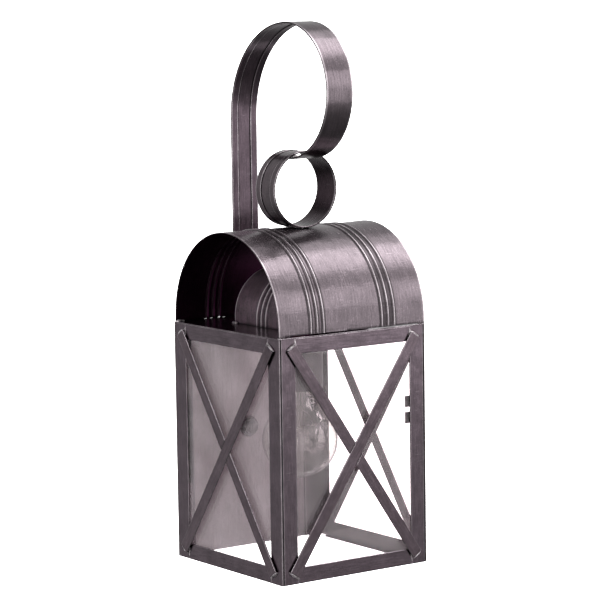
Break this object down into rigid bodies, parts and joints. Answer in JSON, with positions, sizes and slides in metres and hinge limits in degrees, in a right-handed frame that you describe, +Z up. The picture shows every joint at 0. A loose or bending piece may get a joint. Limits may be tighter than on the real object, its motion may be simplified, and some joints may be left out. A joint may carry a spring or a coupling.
{
  "type": "wall lantern",
  "caption": "Wall-mounted sheet-metal lantern: square glazed box with saltire bars, barrel roof with a vent baffle, a ring and scroll strap on top, and one clear lamp inside.",
  "frame": {"origin": "centre of the stud hole at the back plate's rear face, which lies on the wall", "axes": "+X right seen from the front, the front faces -Y, +Y into the wall, +Z up"},
  "size_m": [0.144, 0.146, 0.4268],
  "materials": {
    "antique_metal": "dark antique brass sheet, brushed, with rubbed edges",
    "pane_glass": "clear sheet glass",
    "bulb_glass": "clear blown glass",
    "socket_phenolic": "moulded phenolic",
    "socket_brass": "plain brass",
    "bulb_cap": "rolled aluminium",
    "bulb_insulator": "black glass",
    "bulb_solder": "solder",
    "filament_wire": "drawn wire",
    "rubber": "moulded rubber"
  },
  "bodies": {
    "housing": {"back_plate": "antique_metal", "top_plate": "antique_metal", "roof_barrel": "antique_metal", "vent_baffle": "antique_metal", "scroll_strap": "antique_metal", "hanging_ring": "antique_metal", "rail_top_front": "antique_metal", "rail_bottom_front": "antique_metal", "socket_body": "socket_phenolic", "socket_shell": "socket_brass", "socket_contact": "socket_brass", "lamp_nipple": "socket_brass", "lamp_locknuts": "socket_brass", "nut_washer": "antique_metal", "wire_bushing": "rubber", "pane_front": "pane_glass", "pane_left": "pane_glass", "pane_right": "pane_glass", "post_front_left": "antique_metal", "post_rear_left": "antique_metal", "rail_top_left": "antique_metal", "rail_bottom_left": "antique_metal", "pane_strip_left": "antique_metal", "pane_tabs_left": "antique_metal", "post_front_right": "antique_metal", "post_rear_right": "antique_metal", "rail_top_right": "antique_metal", "rail_bottom_right": "antique_metal", "pane_strip_right": "antique_metal", "pane_tabs_right": "antique_metal", "front_bar_long": "antique_metal", "front_bar_lower": "antique_metal", "front_bar_upper": "antique_metal", "left_bar_long": "antique_metal", "left_bar_lower": "antique_metal", "left_bar_upper": "antique_metal", "right_bar_long": "antique_metal", "right_bar_lower": "antique_metal", "right_bar_upper": "antique_metal"},
    "lamp": {"bulb_glass": "bulb_glass", "bulb_base": "bulb_cap", "bulb_insulator": "bulb_insulator", "bulb_tip": "bulb_solder", "bulb_stem": "bulb_glass", "bulb_filament": "filament_wire"},
    "nut": {"cap_nut": "antique_metal"}
  },
  "joints": [
    {"name": "bulb_out", "type": "slide", "parent": "housing", "child": "lamp", "axis": [0, 0, -1], "range_m": [0, 0.18]},
    {"name": "nut_turn", "type": "hinge", "parent": "housing", "child": "nut", "pos_m": [0, -0.006, 0], "axis": [0, -1, 0], "continuous": true}
  ]
}
